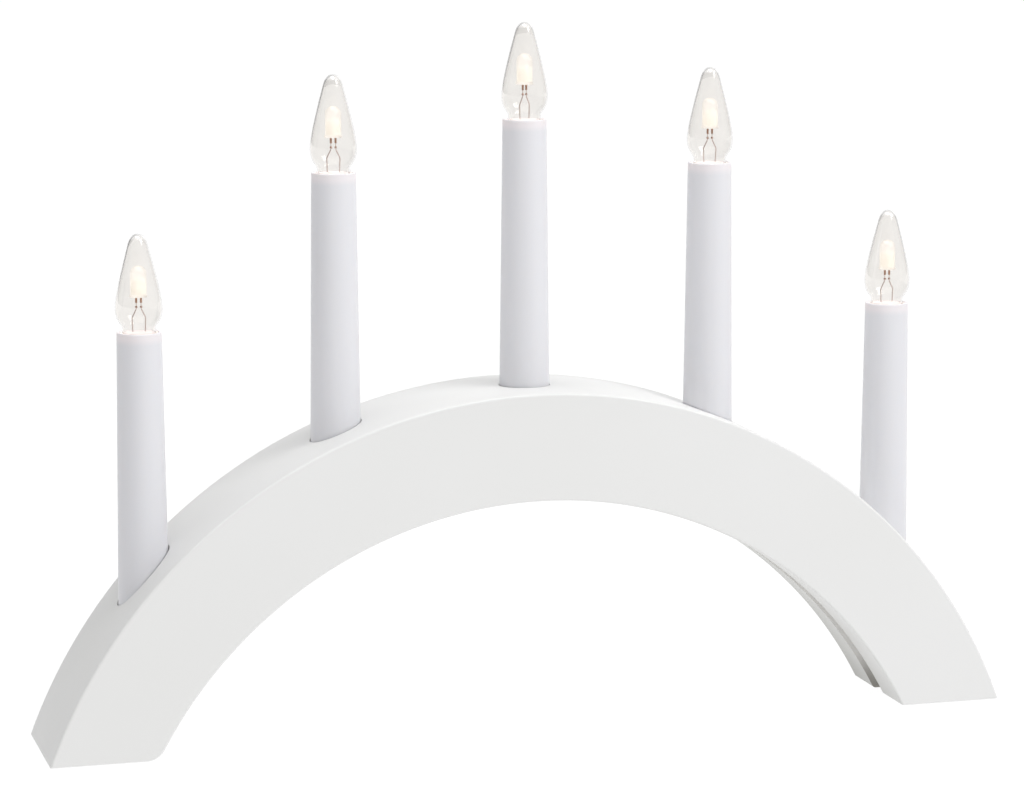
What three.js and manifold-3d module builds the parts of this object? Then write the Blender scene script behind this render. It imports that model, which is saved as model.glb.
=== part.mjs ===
// Electric candle arch: a painted wooden bow with five candle tubes, each with a screw-in clear LED bulb.
// Millimetres, +Z up, +X along the bow, the front faces -Y, and the origin is on the floor at mid-span.
import * as THREE from 'three';
import { mergeVertices } from 'three/addons/utils/BufferGeometryUtils.js';
import Module from 'manifold-3d';

// Bow: two boards glued to a narrower core strip, which leaves a wiring groove open along the underside
const bowWidth = 400;
const bowHeight = 139;
const legWidth = 43.25;
const crownThickness = 43.6;
const boardThickness = 21.3;
const coreThickness = 11.4;
const grooveDepth = 18;
const edgeChamfer = 1;
const toeRound = 5;

// Candle tubes and the blind holes they stand in
const candleInset = 42.8;
const tubeLength = 113.5;
const tubeTopDiameter = 17.7;
const tubeFootDiameter = 20.4;
const tubeWall = 1.2;
const rimRound = 0.4;
const holeClearance = 0.6;
const holeDepth = 6;
const endHoleDepth = 4.4;

// Bulb: clear flame-shaped envelope round a lit diode on two bent leads
const bulbHeight = 38.6;
const bellyDiameter = 18.7;
const bellyHeight = 9.4;
const tipDiameter = 8;
const tipRound = 4.3;
const tipSolid = 5;
const envelopeWall = 1.2;
const neckDepth = 4;
const neckClearance = 1.05;
const neckTop = 1.5;
const baseRise = 0.3;
const spigotLength = 3;
const spigotWall = 0.6;
const diodeDiameter = 6.4;
const diodeFlange = 0.35;
const diodeFlangeHeight = 0.8;
const diodeBase = 13.8;
const diodeLength = 12.4;
const leadDiameter = 0.7;
const leadPitch = 1.9;
const leadPinch = 2.3;
const leadSpread = 5.4;
const leadStub = 4;
const leadPinchHeight = 8.7;
const leadSpreadHeight = 5.6;
const centreTurn = 28;

// Screw cap of the bulb and the matching shell in the holder
const threadPitch = 1.814;
const threadCrest = 9.4;
const threadRoot = 8.52;
const threadTurns = 3.5;
const threadClearance = 0.34;
const capWall = 0.3;
const capPlain = 1.2;
const contactTip = 1.4;
const contactDiscThickness = 0.8;
const contactTipDiameter = 3.2;
const shellWall = 0.3;

// Lamp holder inside the top of each tube
const holderLength = 20;
const holderWall = 1.4;
const holderFloor = 2.5;
const collarDrop = 0.5;
const collarGap = 0.3;
const terminalReach = 2;
const stripThickness = 0.4;
const stripWidth = 2;
const tongueRise = 0.5;
const terminalClearance = 0.4;

// Wiring along the groove
const wireDiameter = 1.8;
const wireBend = 8;
const wireReach = 14;
const slotMargin = 1;
const slotWidth = 6;
const tailHeight = 8;

// Small gaps between neighbours
const seatGap = 0.3;
const slideGap = 0.2;
const wireGap = 0.3;
const solderGap = 0.3;

// Points closer than this are one point
const weldTolerance = 1e-4;

// Facet counts
const bowSteps = 22;
const tubeSides = 24;
const bulbSides = 16;
const curveSteps = 3;
const smallSides = 10;
const threadSides = 12;
const rowsPerTurn = 4;
const wireSides = 8;
const leadSides = 6;
const bendSteps = 5;
const slotSteps = 3;
const domeSteps = 2;
const stepsPerGroove = 5;

const wasm = await Module();
wasm.setup();

// Welds a geometry into a closed indexed mesh with its faces pointing out.
function weld(geometry) {
  const bare = geometry.index ? geometry.toNonIndexed() : geometry.clone();
  bare.deleteAttribute('normal');
  bare.deleteAttribute('uv');
  const merged = mergeVertices(bare, weldTolerance);
  const index = merged.index.array;
  const position = merged.attributes.position;
  const a = new THREE.Vector3();
  const b = new THREE.Vector3();
  const c = new THREE.Vector3();
  let kept = [];
  let volume = 0;
  for (let i = 0; i < index.length; i += 3) {
    const [p, q, r] = [index[i], index[i + 1], index[i + 2]];
    if (p === q || q === r || r === p) continue;
    kept.push(p, q, r);
    volume += a.fromBufferAttribute(position, p).dot(
      b.fromBufferAttribute(position, q).cross(c.fromBufferAttribute(position, r)));
  }
  if (volume < 0) kept = kept.reverse();
  merged.setIndex(kept);
  merged.computeVertexNormals();
  return merged;
}

function toManifold(geometry) {
  const welded = weld(geometry);
  return new wasm.Manifold(new wasm.Mesh({
    numProp: 3,
    vertProperties: new Float32Array(welded.attributes.position.array),
    triVerts: new Uint32Array(welded.index.array),
  }));
}

function fromManifold(manifold) {
  const mesh = manifold.getMesh();
  const geometry = new THREE.BufferGeometry();
  geometry.setAttribute('position', new THREE.BufferAttribute(new Float32Array(mesh.vertProperties), 3));
  geometry.setIndex(Array.from(mesh.triVerts));
  geometry.computeVertexNormals();
  return geometry;
}

// Cuts every tool out of the body.
function cut(body, tools) {
  let result = toManifold(body);
  for (const tool of tools) result = result.subtract(toManifold(tool));
  return fromManifold(result);
}

function join(body, addition) {
  return fromManifold(toManifold(body).add(toManifold(addition)));
}

// Turns a profile of radius and height points, listed counter-clockwise, about the vertical axis.
function turned(points, sides) {
  const geometry = new THREE.LatheGeometry(points.map(([r, z]) => new THREE.Vector2(r, z)), sides);
  return weld(geometry.rotateX(Math.PI / 2));
}

// Extrudes an outline drawn in the XZ plane so that it is centred on y = 0.
function plate(shape, thickness, options = {}) {
  const settings = { depth: thickness, bevelEnabled: false, curveSegments: bowSteps, ...options };
  const geometry = new THREE.ExtrudeGeometry(shape, settings);
  return geometry.rotateX(Math.PI / 2).translate(0, thickness / 2, 0);
}

function box(size, centre) {
  return new THREE.BoxGeometry(...size).translate(...centre);
}

// A path through chosen stations, taken one station per step.
class Route extends THREE.Curve {
  constructor(stations) {
    super();
    this.stations = stations;
  }

  getPoint(t, target = new THREE.Vector3()) {
    const last = this.stations.length - 1;
    const place = THREE.MathUtils.clamp(t, 0, 1) * last;
    const i = Math.min(Math.floor(place), last - 1);
    return target.lerpVectors(this.stations[i], this.stations[i + 1], place - i);
  }

  getPointAt(u, target) {
    return this.getPoint(u, target);
  }

  getTangentAt(u, target) {
    return this.getTangent(u, target);
  }
}

// A round wire along a list of stations.
function wire(stations, diameter, sides) {
  const section = new THREE.Shape();
  section.absarc(0, 0, diameter / 2, 0, 2 * Math.PI);
  const points = section.getPoints(sides / 2).slice(0, sides);
  return weld(new THREE.ExtrudeGeometry(new THREE.Shape(points), {
    steps: stations.length - 1,
    extrudePath: new Route(stations),
  }));
}

const painted = { color: 0xf1f1ee, roughness: 0.45, metalness: 0 };
const candlePlastic = { color: 0xeeeef2, roughness: 0.35, metalness: 0 };
const holderPlastic = { color: 0xe4e2da, roughness: 0.5, metalness: 0 };
const brass = { color: 0xc9a95a, roughness: 0.35, metalness: 1 };
const nickel = { color: 0xc4c2bc, roughness: 0.3, metalness: 1 };
const clear = { color: 0xf4f6f6, roughness: 0.05, metalness: 0, transparent: true, opacity: 0.35 };
const glowing = { color: 0xfff3d6, roughness: 0.3, metalness: 0, emissive: 0xffe2ae };
const leadMetal = { color: 0xb08a7a, roughness: 0.4, metalness: 1 };
const wireCover = { color: 0xe8e6e0, roughness: 0.5, metalness: 0 };

function part(name, geometry, finish) {
  const mesh = new THREE.Mesh(geometry, new THREE.MeshStandardMaterial(finish));
  mesh.name = name;
  return mesh;
}

// Circles that the bow is cut to: through both foot corners and the crown
function circleThrough(halfSpan, height) {
  const radius = (halfSpan ** 2 + height ** 2) / (2 * height);
  return { radius, centre: height - radius };
}

const outer = circleThrough(bowWidth / 2, bowHeight);
const inner = circleThrough(bowWidth / 2 - legWidth, bowHeight - crownThickness);
const groove = { radius: inner.radius + grooveDepth, centre: inner.centre };
const wireLine = { radius: groove.radius - wireGap - wireDiameter / 2, centre: inner.centre };

const heightAt = (circle, x) => circle.centre + Math.sqrt(circle.radius ** 2 - x ** 2);
const footAt = (circle) => Math.sqrt(circle.radius ** 2 - circle.centre ** 2);

// Outline of a bow between the outer circle and a lower one, with the left toe rounded over.
function bowOutline(lower, round) {
  const shape = new THREE.Shape();
  const start = Math.asin(-outer.centre / outer.radius);
  const end = Math.asin(-lower.centre / lower.radius);
  const toe = round / lower.radius;
  shape.absarc(0, outer.centre, outer.radius, start, Math.PI - start, false);
  shape.lineTo(-footAt(lower) - round, 0);
  const rise = Math.PI - end - toe;
  const last = [lower.radius * Math.cos(rise), lower.centre + lower.radius * Math.sin(rise)];
  shape.quadraticCurveTo(-footAt(lower), 0, ...last);
  shape.absarc(0, lower.centre, lower.radius, rise, end, true);
  shape.closePath();
  return shape;
}

const holeRadius = tubeFootDiameter / 2 + holeClearance;
const bowDepth = 2 * boardThickness + coreThickness;
const candleSpacing = (bowWidth / 2 - candleInset) / 2;
const candles = ['far_left', 'left', 'centre', 'right', 'far_right'].map((name, i) => {
  const x = (i - 2) * candleSpacing;
  const depth = Math.abs(i - 2) === 2 ? endHoleDepth : holeDepth;
  const floor = heightAt(outer, Math.abs(x) + holeRadius) - depth;
  const turn = THREE.MathUtils.degToRad(i === 2 ? centreTurn : 0);
  return { name, x, floor, rim: floor + seatGap + tubeLength, turn };
});

// Radii of the thread on the cap and in the shell; the terminals below the shell keep to its open radius
const threadMean = (threadCrest + threadRoot) / 4;
const threadSwing = (threadCrest - threadRoot) / 4;
const shellMean = threadMean + threadClearance;
const terminalX = shellMean + threadSwing;
const shellRadius = terminalX + shellWall;

// Heights in a candle, measured from the rim of its tube
const holderTop = -neckDepth - seatGap;
const capTop = -neckDepth - seatGap;
const threadLength = threadTurns * threadPitch;
const capBottom = capTop - 2 * capPlain - threadLength;
const threadStart = capBottom + capPlain;
const contactEnd = capBottom - contactTip;
const boreFloor = contactEnd - seatGap - tongueRise - stripThickness - slideGap;
const floorUnderside = boreFloor - holderFloor;
const terminalEnd = floorUnderside - terminalReach;

// Tools for the candle holes and for the slots that pass the wires from the holes to the groove
const slotHalfLength = terminalX + wireDiameter / 2 + slotMargin;

function holeTool(candle) {
  const height = bowHeight + holeRadius - candle.floor;
  const tool = new THREE.CylinderGeometry(holeRadius, holeRadius, height, tubeSides);
  return tool.rotateX(Math.PI / 2).translate(candle.x, 0, candle.floor + height / 2);
}

function slotTool(candle) {
  const straight = slotHalfLength - slotWidth / 2;
  const outline = new THREE.Shape();
  outline.absarc(straight, 0, slotWidth / 2, -Math.PI / 2, Math.PI / 2, false);
  outline.absarc(-straight, 0, slotWidth / 2, Math.PI / 2, 1.5 * Math.PI, false);
  const settings = { depth: bowHeight, bevelEnabled: false, curveSegments: slotSteps };
  const top = candle.floor + slotMargin;
  return new THREE.ExtrudeGeometry(outline, settings).translate(candle.x, 0, top - bowHeight);
}

// A board with chamfered edges on its outer face, square against the core.
function board(side) {
  const bevel = {
    bevelEnabled: true,
    bevelThickness: edgeChamfer,
    bevelSize: edgeChamfer,
    bevelOffset: -edgeChamfer,
    bevelSegments: 1,
  };
  const whole = plate(bowOutline(inner, toeRound), bowDepth - 2 * edgeChamfer, bevel);
  const margin = holeRadius;
  const away = box(
    [bowWidth + margin, boardThickness + coreThickness + margin, 2 * bowHeight + margin],
    [0, -side * (boardThickness + margin) / 2, bowHeight / 2]);
  return cut(whole, [away, ...candles.map(holeTool)]);
}

function coreStrip() {
  const whole = plate(bowOutline(groove, 0), coreThickness);
  return cut(whole, [...candles.map(holeTool), ...candles.map(slotTool)]);
}

// Tapered candle tube with a softened rim
const tubeRadiusAt = (z) => (tubeTopDiameter - (tubeFootDiameter - tubeTopDiameter) * z / tubeLength) / 2;
const boreRadiusAt = (z) => tubeRadiusAt(z) - tubeWall;

function candleTube() {
  return turned([
    [boreRadiusAt(-tubeLength), -tubeLength],
    [tubeRadiusAt(-tubeLength), -tubeLength],
    [tubeRadiusAt(-rimRound), -rimRound],
    [tubeRadiusAt(0) - rimRound, 0],
    [boreRadiusAt(0), 0],
    [boreRadiusAt(-tubeLength), -tubeLength],
  ], tubeSides);
}

// Plastic insert that wedges in the tube's taper, carries the screw shell and the contact tongue, and
// stands round the bulb's neck as a collar
function lampHolder() {
  const bottom = holderTop - holderLength;
  const outerAt = (z) => boreRadiusAt(z) - slideGap;
  const bore = shellRadius + slideGap;
  const skirt = outerAt(bottom) - holderWall;
  const collar = neckRadius + collarGap;
  const body = turned([
    [0, floorUnderside],
    [skirt, floorUnderside],
    [skirt, bottom],
    [outerAt(bottom), bottom],
    [outerAt(-collarDrop), -collarDrop],
    [collar, -collarDrop],
    [collar, holderTop],
    [bore, holderTop],
    [bore, boreFloor],
    [0, boreFloor],
  ], bulbSides);
  const slotLength = stripThickness + 2 * terminalClearance;
  const slotBreadth = stripWidth + 2 * terminalClearance;
  const slots = [-1, 1].map((side) => box(
    [slotLength, slotBreadth, 2 * holderFloor],
    [side * terminalX, 0, (boreFloor + floorUnderside) / 2]));
  return cut(body, slots);
}

// Rolls a right-hand thread into the rows of a sleeve that lie on one radius; the end rows stay plain.
function rollThread(geometry, rowRadius, meanRadius) {
  const position = geometry.attributes.position;
  const low = threadStart + weldTolerance;
  const high = threadStart + threadLength - weldTolerance;
  for (let i = 0; i < position.count; i += 1) {
    const [x, y, z] = [position.getX(i), position.getY(i), position.getZ(i)];
    if (Math.abs(Math.hypot(x, y) - rowRadius) > weldTolerance || z < low || z > high) continue;
    const angle = Math.atan2(y, x);
    const phase = 2 * Math.PI * (z - threadStart) / threadPitch - angle;
    const radius = meanRadius + threadSwing * Math.cos(phase);
    position.setXYZ(i, radius * Math.cos(angle), radius * Math.sin(angle), z);
  }
  geometry.computeVertexNormals();
  return geometry;
}

function threadRows(radius) {
  const rows = threadTurns * rowsPerTurn;
  const rise = threadPitch / rowsPerTurn;
  return Array.from({ length: rows + 1 }, (_, i) => [radius, threadStart + i * rise]);
}

function bulbCap() {
  const rootRadius = threadRoot / 2;
  const boreRadius = rootRadius - capWall;
  const sleeve = turned([
    [boreRadius, capBottom],
    [(rootRadius + boreRadius) / 2, capBottom],
    ...threadRows(rootRadius),
    [rootRadius, capTop],
    [boreRadius, capTop],
    [boreRadius, capBottom],
  ], threadSides);
  return rollThread(sleeve, rootRadius, threadMean);
}

function holderShell() {
  const top = capTop - slideGap;
  const bottom = capBottom + slideGap;
  const sleeve = turned([
    [terminalX, bottom],
    [shellRadius, bottom],
    [shellRadius, top],
    [terminalX, top],
    ...threadRows(terminalX).reverse(),
    [terminalX, bottom],
  ], threadSides);
  const tabTop = bottom + shellWall;
  const tab = box(
    [stripThickness, stripWidth, tabTop - terminalEnd],
    [terminalX, 0, (tabTop + terminalEnd) / 2]);
  return join(rollThread(sleeve, terminalX, shellMean), tab);
}

// Springy tongue under the bulb's centre contact, with a tail through the holder's floor
function holderContact() {
  const low = boreFloor + slideGap;
  const half = stripThickness / 2;
  const crest = low + stripThickness + tongueRise;
  const reach = contactTipDiameter / 2;
  const outline = new THREE.Shape();
  outline.moveTo(-terminalX - half, terminalEnd);
  outline.lineTo(-terminalX + half, terminalEnd);
  outline.lineTo(-terminalX + half, low);
  outline.lineTo(-reach, low);
  outline.lineTo(0, crest - stripThickness);
  outline.lineTo(reach, low);
  outline.lineTo(reach, low + stripThickness);
  outline.lineTo(0, crest);
  outline.lineTo(-reach, low + stripThickness);
  outline.lineTo(-terminalX - half, low + stripThickness);
  outline.closePath();
  return weld(plate(outline, stripWidth));
}

// Flame-shaped curve from the neck to the tip, drawn inset from the outer surface.
// The flank leans in steadily, and each handle is a share of the height or width that its curve spans.
const neckRadius = boreRadiusAt(0) - neckClearance;
const flankLean = 0.265;
const neckHandle = 0.19;
const bellyHandle = 0.7;
const lowHandle = 0.2;
const highHandle = 0.37;
const tipHandle = 0.52;
const tipFlat = 0.62;

function flameCurve(inset, top) {
  const belly = bellyDiameter / 2 - inset;
  const neck = neckRadius - inset;
  const shoulder = Math.max(tipDiameter / 2 - inset, tipDiameter / 4);
  const shoulderHeight = top - tipRound;
  const rise = bellyHeight - neckTop;
  const run = shoulderHeight - bellyHeight;
  const path = new THREE.Path();
  path.moveTo(neck, neckTop);
  path.bezierCurveTo(
    neck, neckTop + neckHandle * rise,
    belly, bellyHeight - bellyHandle * rise,
    belly, bellyHeight);
  path.bezierCurveTo(
    belly, bellyHeight + lowHandle * run,
    shoulder + flankLean * highHandle * run, shoulderHeight - highHandle * run,
    shoulder, shoulderHeight);
  path.bezierCurveTo(
    shoulder - flankLean * tipHandle * tipRound, shoulderHeight + tipHandle * tipRound,
    tipFlat * shoulder, top,
    0, top);
  return path.getPoints(curveSteps).map((point) => [point.x, point.y]);
}

// Clear envelope on a closed base, which fills the neck to just above the rim and lets the leads through
function bulbEnvelope() {
  const spigotRadius = threadRoot / 2 - capWall - slideGap;
  const spigotBore = spigotRadius - spigotWall;
  const spigotEnd = -neckDepth - spigotLength;
  const cavity = flameCurve(envelopeWall, bulbHeight - tipSolid).reverse();
  return turned([
    ...cavity,
    [neckRadius - envelopeWall, baseRise],
    [spigotBore, baseRise],
    [spigotBore, spigotEnd],
    [spigotRadius, spigotEnd],
    [spigotRadius, -neckDepth],
    [neckRadius, -neckDepth],
    ...flameCurve(0, bulbHeight),
  ], bulbSides);
}

function bulbDiode() {
  const radius = diodeDiameter / 2;
  const dome = new THREE.Path();
  dome.absarc(0, diodeBase + diodeLength - radius, radius, 0, Math.PI / 2, false);
  return turned([
    [0, diodeBase],
    [radius + diodeFlange, diodeBase],
    [radius + diodeFlange, diodeBase + diodeFlangeHeight],
    [radius, diodeBase + diodeFlangeHeight],
    ...dome.getPoints(domeSteps).map((point) => [Math.max(point.x, 0), point.y]),
  ], smallSides);
}

// One lead of the diode: a stub, a pinch, a spread and a straight run down through the base into the cap.
// Its plane is turned as far as the bulb is when it has been screwed home.
function bulbLead(side, turn) {
  const spread = Math.min(leadSpread / 2, threadRoot / 2 - capWall - slideGap - spigotWall - leadDiameter);
  const end = capBottom + contactDiscThickness + solderGap;
  const at = (x, z) => new THREE.Vector3(side * x, 0, z);
  return wire([
    at(leadPitch / 2, diodeBase - solderGap),
    at(leadPitch / 2, diodeBase - leadStub),
    at(leadPinch / 2, leadPinchHeight),
    at(leadSpread / 2, leadSpreadHeight),
    at(spread, baseRise + leadDiameter),
    at(spread, end),
  ], leadDiameter, leadSides).rotateZ(turn);
}

// Insulating disc with the rounded centre contact below it
function bulbContact() {
  const disc = threadRoot / 2 - capWall - slideGap;
  const tip = contactTipDiameter / 2;
  return turned([
    [0, contactEnd],
    [tip - contactTip / 2, contactEnd],
    [tip, contactEnd + contactTip / 2],
    [tip, capBottom],
    [disc, capBottom],
    [disc, capBottom + contactDiscThickness],
    [0, capBottom + contactDiscThickness],
  ], smallSides);
}

// Stations of a bend between a straight drop and the groove, as a cubic curve.
function bend(from, fromHandle, toHandle, to) {
  return new THREE.CubicBezierCurve3(from, fromHandle, toHandle, to).getPoints(bendSteps);
}

const onLine = (angle, y) => new THREE.Vector3(
  wireLine.radius * Math.sin(angle), y, wireLine.centre + wireLine.radius * Math.cos(angle));
const alongLine = (angle, sense) => new THREE.Vector3(sense * Math.cos(angle), 0, -sense * Math.sin(angle));

// The drop from a terminal down the tube and its bend into the groove, towards sense along x.
function drop(candle, side, sense, y) {
  const x = candle.x + side * terminalX;
  const top = new THREE.Vector3(x, 0, candle.rim + terminalEnd - solderGap);
  const mouth = new THREE.Vector3(x, 0, heightAt(groove, x));
  const angle = Math.asin(x / wireLine.radius) + sense * wireReach / wireLine.radius;
  const joinPoint = onLine(angle, y);
  const handle = joinPoint.clone().addScaledVector(alongLine(angle, sense), -wireBend);
  const dip = mouth.clone().setZ(mouth.z - wireBend);
  return { angle, stations: [top, ...bend(mouth, dip, handle, joinPoint)] };
}

// Stations along the groove strictly between two angles.
function grooveRun(from, to, y) {
  const span = Math.abs(to - from);
  const count = Math.max(2, Math.round(stepsPerGroove * span * wireLine.radius / candleSpacing));
  return Array.from({ length: count - 1 }, (_, i) => onLine(from + (to - from) * (i + 1) / count, y));
}

function linkWire(from, to) {
  const start = drop(from, 1, 1, 0);
  const finish = drop(to, -1, -1, 0);
  const run = grooveRun(start.angle, finish.angle, 0);
  return wire([...start.stations, ...run, ...finish.stations.reverse()], wireDiameter, wireSides);
}

// The two tails run down the left leg and end just above the floor, where a mains lead would join them.
const tailAngle = -Math.acos((tailHeight - wireLine.centre) / wireLine.radius);

function tailWire(candle, side, y) {
  const start = drop(candle, side, -1, y);
  const run = grooveRun(start.angle, tailAngle, y);
  return wire([...start.stations, ...run, onLine(tailAngle, y)], wireDiameter, wireSides);
}

// One candle: tube, holder and bulb, all measured from the tube's rim.
function candleGroup(candle) {
  const group = new THREE.Group();
  group.position.set(candle.x, 0, candle.rim);
  const add = (kind, geometry, finish) => group.add(part(`${kind}_${candle.name}`, geometry, finish));
  add('candle_tube', candleTube(), candlePlastic);
  add('lamp_holder', lampHolder(), holderPlastic);
  add('holder_shell', holderShell(), brass);
  add('holder_contact', holderContact(), brass);
  add('bulb_envelope', bulbEnvelope(), clear);
  add('bulb_diode', bulbDiode(), glowing);
  add('bulb_anode_lead', bulbLead(-1, candle.turn), leadMetal);
  add('bulb_cathode_lead', bulbLead(1, candle.turn), leadMetal);
  add('bulb_cap', bulbCap(), nickel);
  add('bulb_contact', bulbContact(), brass);
  return group;
}

const candleArch = new THREE.Group();
candleArch.add(part('front_board', board(-1), painted));
candleArch.add(part('core_strip', coreStrip(), painted));
candleArch.add(part('rear_board', board(1), painted));
for (const candle of candles) candleArch.add(candleGroup(candle));
for (let i = 0; i < candles.length - 1; i += 1) {
  const name = `link_wire_${i + 1}`;
  candleArch.add(part(name, linkWire(candles[i], candles[i + 1]), wireCover));
}
const returnPlane = coreThickness / 2 - wireDiameter / 2 - wireGap;
candleArch.add(part('supply_wire', tailWire(candles[0], -1, 0), wireCover));
candleArch.add(part('return_wire', tailWire(candles.at(-1), 1, returnPlane), wireCover));

export default candleArch;
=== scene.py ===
import math

import bmesh
import bpy
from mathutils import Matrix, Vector


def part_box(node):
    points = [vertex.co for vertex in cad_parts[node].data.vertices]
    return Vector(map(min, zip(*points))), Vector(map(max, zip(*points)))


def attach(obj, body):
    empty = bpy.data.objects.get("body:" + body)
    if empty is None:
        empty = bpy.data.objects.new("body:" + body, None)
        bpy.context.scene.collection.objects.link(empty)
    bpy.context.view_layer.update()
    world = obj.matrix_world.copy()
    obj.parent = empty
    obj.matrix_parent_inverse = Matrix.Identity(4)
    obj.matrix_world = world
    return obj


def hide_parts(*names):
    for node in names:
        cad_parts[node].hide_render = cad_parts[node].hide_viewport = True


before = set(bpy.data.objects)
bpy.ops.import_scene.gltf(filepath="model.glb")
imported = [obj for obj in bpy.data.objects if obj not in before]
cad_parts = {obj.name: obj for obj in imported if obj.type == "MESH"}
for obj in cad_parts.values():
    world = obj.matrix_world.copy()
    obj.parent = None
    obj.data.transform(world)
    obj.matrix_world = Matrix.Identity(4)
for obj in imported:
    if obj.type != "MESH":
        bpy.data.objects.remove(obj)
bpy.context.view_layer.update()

# Electric candle arch: a painted wooden bow with five candle tubes, each with a lit, clear LED bulb.
# Metres, +Z up, the front faces -Y, and the origin is on the floor at mid-span.
MM = 0.001
PLACES = ("far_left", "left", "centre", "right", "far_right")

# Bow; the groove's cutter starts below the floor, by a share of the bow's height
LEG_WIDTH = 43.25 * MM
CROWN_THICKNESS = 43.6 * MM
GROOVE_DEPTH = 18 * MM
GROOVE_OVERRUN = 0.25
EDGE_ROUND = 1.0 * MM
TOE_ROUND = 5 * MM
HOLE_CLEARANCE = 0.3 * MM
SLOT_WIDTH = 6 * MM
SLOT_MARGIN = 1 * MM

# Paint: how far the looks of the groove and the painted shade on the underside reach, and how much of that
# shade the front gets
GROOVE_MARGIN = 0.05 * MM
UNDERSIDE_SHADE_EDGE = 0.6 * MM
SHADE_AT_FRONT = 0.4

# Candle tube
TUBE_TOP_RADIUS = 8.85 * MM
TUBE_FOOT_RADIUS = 10.2 * MM
TUBE_WALL = 1.2 * MM
RIM_ROUND = 0.5 * MM

# Bulb, measured up from the tube's rim
BULB_HEIGHT = 38.6 * MM
BELLY_RADIUS = 9.35 * MM
BELLY_HEIGHT = 9.4 * MM
TIP_RADIUS = 4 * MM
TIP_ROUND = 4.3 * MM
TIP_WALL = 0.5 * MM
CAVITY_DOME = 4 * MM
ENVELOPE_WALL = 0.45 * MM
NECK_RADIUS = 6.6 * MM
NECK_DEPTH = 4 * MM
NECK_TOP = 1.5 * MM
BASE_RISE = 0.3 * MM
BASE_GAP = 0.05 * MM
SPIGOT_RADIUS = 3.76 * MM
SPIGOT_WALL = 0.6 * MM
SPIGOT_LENGTH = 3 * MM
DIODE_RADIUS = 3.2 * MM
DIODE_LENGTH = 12.4 * MM
DIODE_FLANGE = 0.35 * MM
DIODE_FLANGE_HEIGHT = 0.8 * MM
DIODE_BASE = 13.8 * MM
CORE_RADIUS = 2.1 * MM
CORE_RISE = 0.9 * MM
CORE_LENGTH = 6.6 * MM
CORE_FOOT_ROUND = 0.7 * MM
CORE_TOP_ROUND = 1.89 * MM
LEAD_PITCH = 1.9 * MM
LEAD_PINCH = 2.3 * MM
LEAD_SPREAD = 5.4 * MM
LEAD_FOOT = 4.92 * MM
LEAD_PINCH_HEIGHT = 8.7 * MM
LEAD_SPREAD_HEIGHT = 5.6 * MM
LEAD_BEAD_HEIGHT = 9.8 * MM
LEG_END = 11.4 * MM
LEAD_BEND = 0.6 * MM
LEG_RADIUS = 0.42 * MM
LINK_RADIUS = 0.1 * MM
BEAD_RADIUS = 0.5 * MM
LEAD_RADIUS = 0.23 * MM
CAD_LEAD_RADIUS = 0.35 * MM

# Shape of the flame: how much the flank leans, and each curve's handles as shares of what it spans
FLANK_LEAN = 0.265
NECK_HANDLE = 0.19
BELLY_HANDLE = 0.7
LOW_HANDLE = 0.2
HIGH_HANDLE = 0.37
TIP_HANDLE = 0.52
TIP_FLAT = 0.62

# Screw cap, its shell and the holder; the thread fades at both ends over a share of a turn
THREAD_PITCH = 1.814 * MM
THREAD_TURNS = 3.5
THREAD_FADE = 0.5
THREAD_MEAN = 4.48 * MM
THREAD_SWING = 0.22 * MM
SHELL_MEAN = 4.82 * MM
SHEET_WALL = 0.3 * MM
CAP_PLAIN = 1.2 * MM
CAP_TAPER = 0.5
SEAT_GAP = 0.3 * MM
SLIDE_GAP = 0.2 * MM
CONTACT_TIP = 1.4 * MM
CONTACT_TIP_RADIUS = 1.6 * MM
CONTACT_DISC = 0.8 * MM
TONGUE_RISE = 0.5 * MM
STRIP_THICKNESS = 0.4 * MM
STRIP_WIDTH = 2 * MM
TERMINAL_CLEARANCE = 0.4 * MM
TERMINAL_REACH = 2 * MM
HOLDER_LENGTH = 20 * MM
HOLDER_WALL = 1.4 * MM
HOLDER_FLOOR = 2.5 * MM
COLLAR_GAP = 0.1 * MM
COLLAR_DROP = 0.3 * MM

# Wiring in the groove
WIRE_RADIUS = 0.9 * MM
WIRE_GAP = 0.3 * MM
WIRE_BEND = 8 * MM
WIRE_REACH = 14 * MM
WIRE_TAIL_HEIGHT = 8 * MM

# Floor, just below the feet so that the two faces never fall together
FLOOR_RADIUS = 20
FLOOR_GAP = 0.02 * MM
FLOOR_GLOW = 0.96

# Studio light: the level all round and how it changes along each axis, then the backdrop, which fades
# between two cosines of the angle from its middle
SKY_LEVEL = 0.31
SKY_TILT = (0.38, -0.3, -0.2)
SKY_LEAST = 0.28
BACKDROP_LEVEL = 1.08
BACKDROP_TOWARD = (0.27, 0.95, 0.12)
BACKDROP_EDGE = (0.66, 0.92)
LIGHT_TARGET = (0, 0, 0.15)

# Camera at the photograph's viewing angle
CAMERA_AZIMUTH = -15.95
CAMERA_ELEVATION = 9.35
CAMERA_DISTANCE = 1.3816
CAMERA_TARGET = (-0.0052, 0.0, 0.1338)
CAMERA_LENS = 119.75
CAMERA_REACH = 100

# Mesh fineness
BOW_STEPS = 160
ROUND_STEPS = 5
CURVE_STEPS = 24
BEAD_STEPS = 12
TUBE_SIDES = 96
BULB_SIDES = 72
SMALL_SIDES = 40
WIRE_SIDES = 14
THREAD_ROWS = 12
SMOOTH_ANGLE = 35
WELD_DISTANCE = 1e-7

# Finishes: the span of values that noise mostly has, how far roughness spreads, and no glow
NOISE_LOW = 0.3
NOISE_HIGH = 0.7
METAL_SPREAD = 0.14
PLASTIC_SPREAD = 0.12
NO_GLOW = (0, 0, 0)


def lerp(a, b, share):
    return a + (b - a) * share


def bezier(points, steps):
    """Points along a cubic curve, without its first point."""
    a, b, c, d = (Vector(point) for point in points)
    made = []
    for i in range(1, steps + 1):
        t = i / steps
        s = 1 - t
        made.append(tuple(s ** 3 * a + 3 * s * s * t * b + 3 * s * t * t * c + t ** 3 * d))
    return made


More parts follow.
